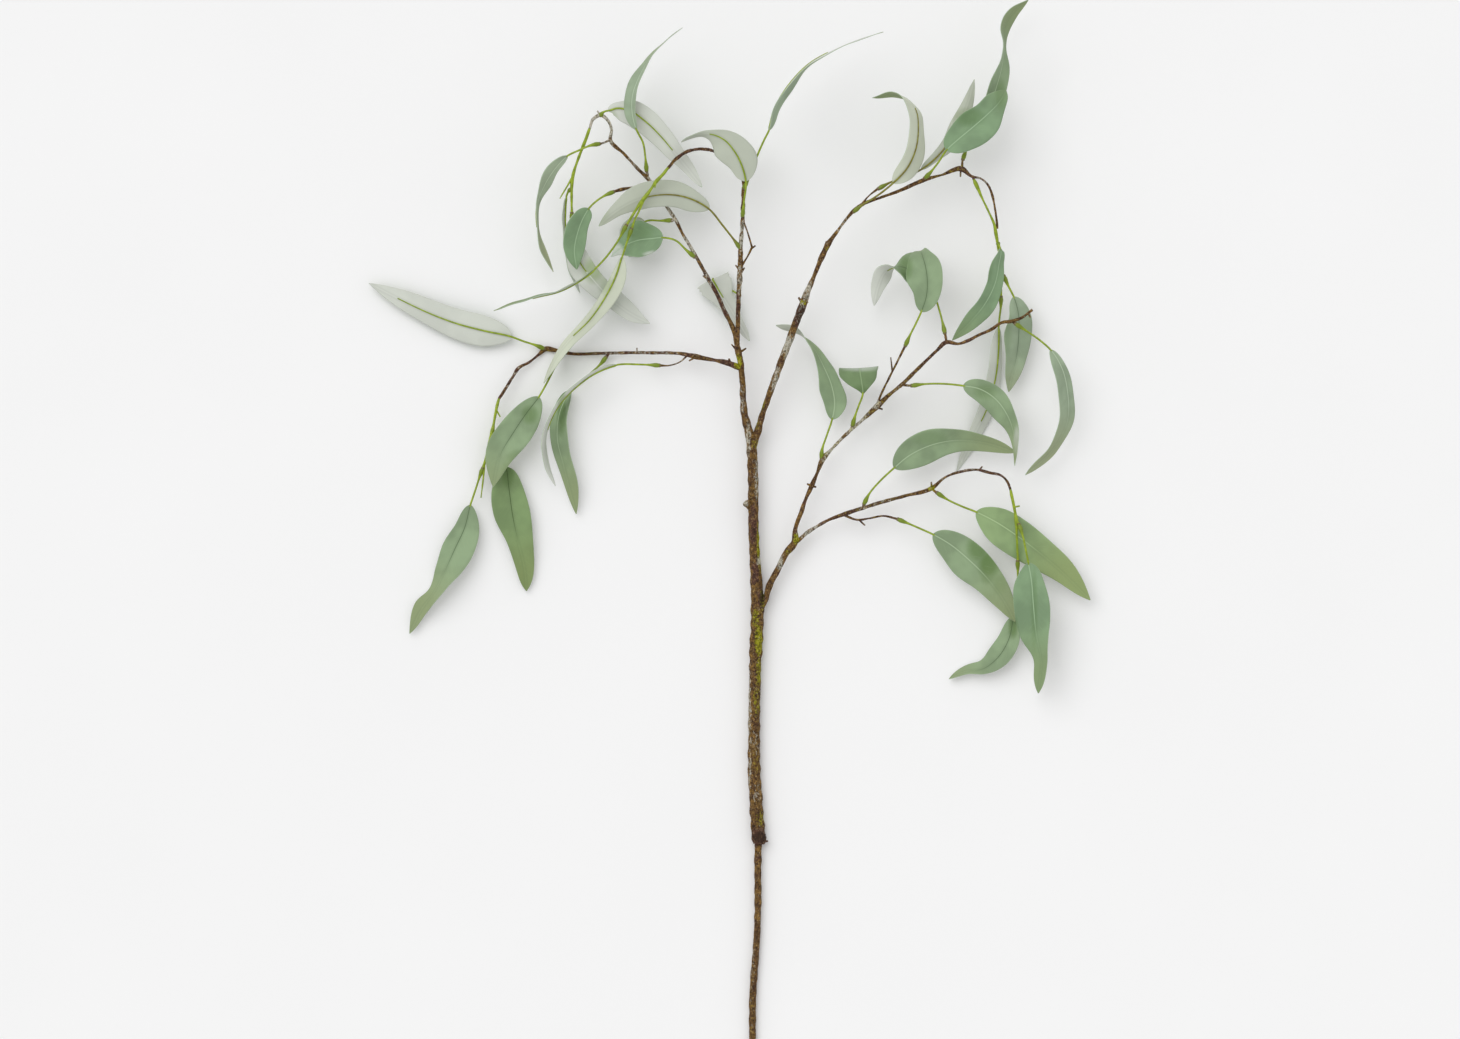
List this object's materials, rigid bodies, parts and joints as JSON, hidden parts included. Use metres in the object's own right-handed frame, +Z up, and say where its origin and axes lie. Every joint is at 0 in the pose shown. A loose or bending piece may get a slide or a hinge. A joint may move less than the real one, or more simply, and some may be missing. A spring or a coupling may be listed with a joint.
{
  "type": "artificial eucalyptus branch",
  "caption": "Long artificial eucalyptus branch lying flat: a bark-painted stem that forks into drooping side branches with narrow fabric leaves on green plastic stalks.",
  "frame": {"origin": "middle of the branch's box in plan, on the table it lies on", "axes": "+Y along the stem towards the tip, +Z up from the table, +X to the right seen from above with the tip at the top"},
  "size_m": [0.7216, 1.0941, 0.0821],
  "materials": {
    "bark": "plastic bark over a wire core, painted brown with moss green and pale grey streaks",
    "green_plastic": "moulded yellow-green plastic twig, slightly glossy",
    "leaf_fabric": "printed grey-green fabric leaf, pale underneath, glued to a moulded green plastic rib and stalk"
  },
  "bodies": {
    "root": {"stem_lower": "bark", "stem_main": "bark", "branch_left_upper": "bark", "branch_left_side": "bark", "branch_right_upper": "bark", "branch_right_middle": "bark", "branch_right_lower": "bark", "twig_leader": "green_plastic", "twig_left_upper": "green_plastic", "twig_left_side": "green_plastic", "twig_right_upper": "green_plastic", "twig_right_lower": "green_plastic", "leaf_side_1": "leaf_fabric", "leaf_side_2": "leaf_fabric", "leaf_side_3": "leaf_fabric", "leaf_side_4": "leaf_fabric", "leaf_side_5": "leaf_fabric", "leaf_side_6": "leaf_fabric", "leaf_leader_1": "leaf_fabric", "leaf_leader_2": "leaf_fabric", "leaf_leader_3": "leaf_fabric", "leaf_leader_4": "leaf_fabric", "leaf_leader_5": "leaf_fabric", "leaf_leader_6": "leaf_fabric", "leaf_upper_1": "leaf_fabric", "leaf_upper_2": "leaf_fabric", "leaf_upper_3": "leaf_fabric", "leaf_upper_4": "leaf_fabric", "leaf_upper_5": "leaf_fabric", "leaf_upper_6": "leaf_fabric", "leaf_upper_7": "leaf_fabric", "leaf_upper_8": "leaf_fabric", "leaf_right_1": "leaf_fabric", "leaf_right_2": "leaf_fabric", "leaf_right_3": "leaf_fabric", "leaf_right_4": "leaf_fabric", "leaf_right_5": "leaf_fabric", "leaf_right_6": "leaf_fabric", "leaf_right_7": "leaf_fabric", "leaf_middle_1": "leaf_fabric", "leaf_middle_2": "leaf_fabric", "leaf_middle_3": "leaf_fabric", "leaf_middle_4": "leaf_fabric", "leaf_middle_5": "leaf_fabric", "leaf_middle_6": "leaf_fabric", "leaf_lower_1": "leaf_fabric", "leaf_lower_2": "leaf_fabric", "leaf_lower_3": "leaf_fabric", "leaf_lower_4": "leaf_fabric", "leaf_lower_5": "leaf_fabric"}
  },
  "joints": []
}
